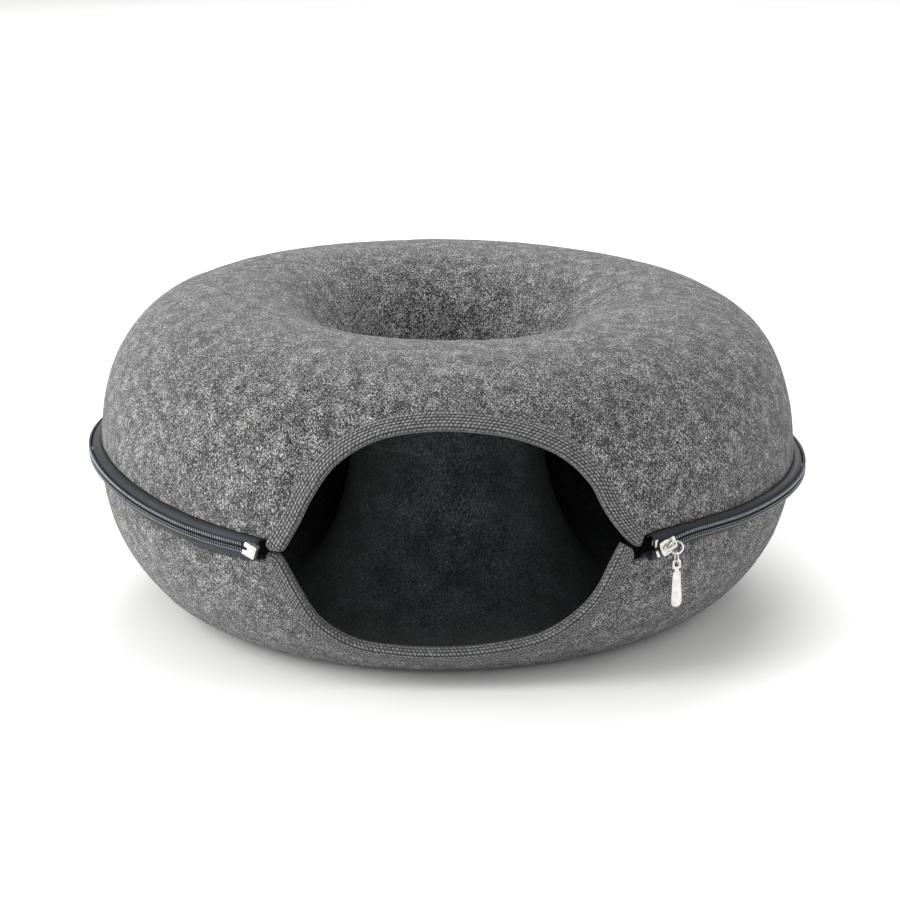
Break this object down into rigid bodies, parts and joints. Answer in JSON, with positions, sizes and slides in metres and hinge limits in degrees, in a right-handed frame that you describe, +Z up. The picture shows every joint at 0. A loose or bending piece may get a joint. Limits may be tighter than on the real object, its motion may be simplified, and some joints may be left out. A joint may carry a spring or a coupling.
{
  "type": "felt cat tunnel bed",
  "caption": "Hollow ring-shaped felt pet bed with a centre hole, an arched doorway bound in webbing at the front, and a zip round its widest line joining its upper and lower halves.",
  "frame": {"origin": "centre of the footprint, on the floor", "axes": "+Z up, doorway towards -Y, zip slider at the doorway's +X side"},
  "size_m": [0.5071, 0.482, 0.219],
  "materials": {
    "grey_felt": "thick needle-punched felt, mottled grey",
    "webbing": "woven twill webbing, grey and black",
    "zip_tape": "close-woven dark tape",
    "zip_nylon": "black nylon coil",
    "nickel_plate": "bright nickel plate"
  },
  "bodies": {
    "root": {"felt_upper": "grey_felt", "felt_lower": "grey_felt", "binding_upper": "webbing", "binding_lower": "webbing", "zip_tape_upper": "zip_tape", "zip_tape_lower": "zip_tape", "zip_coil_upper": "zip_nylon", "zip_coil_lower": "zip_nylon", "zip_box": "nickel_plate", "zip_stop_upper": "nickel_plate", "zip_stop_lower": "nickel_plate", "slider_body": "nickel_plate", "pull_ring": "nickel_plate", "pull_link": "nickel_plate", "pull_tab": "nickel_plate"}
  },
  "joints": []
}
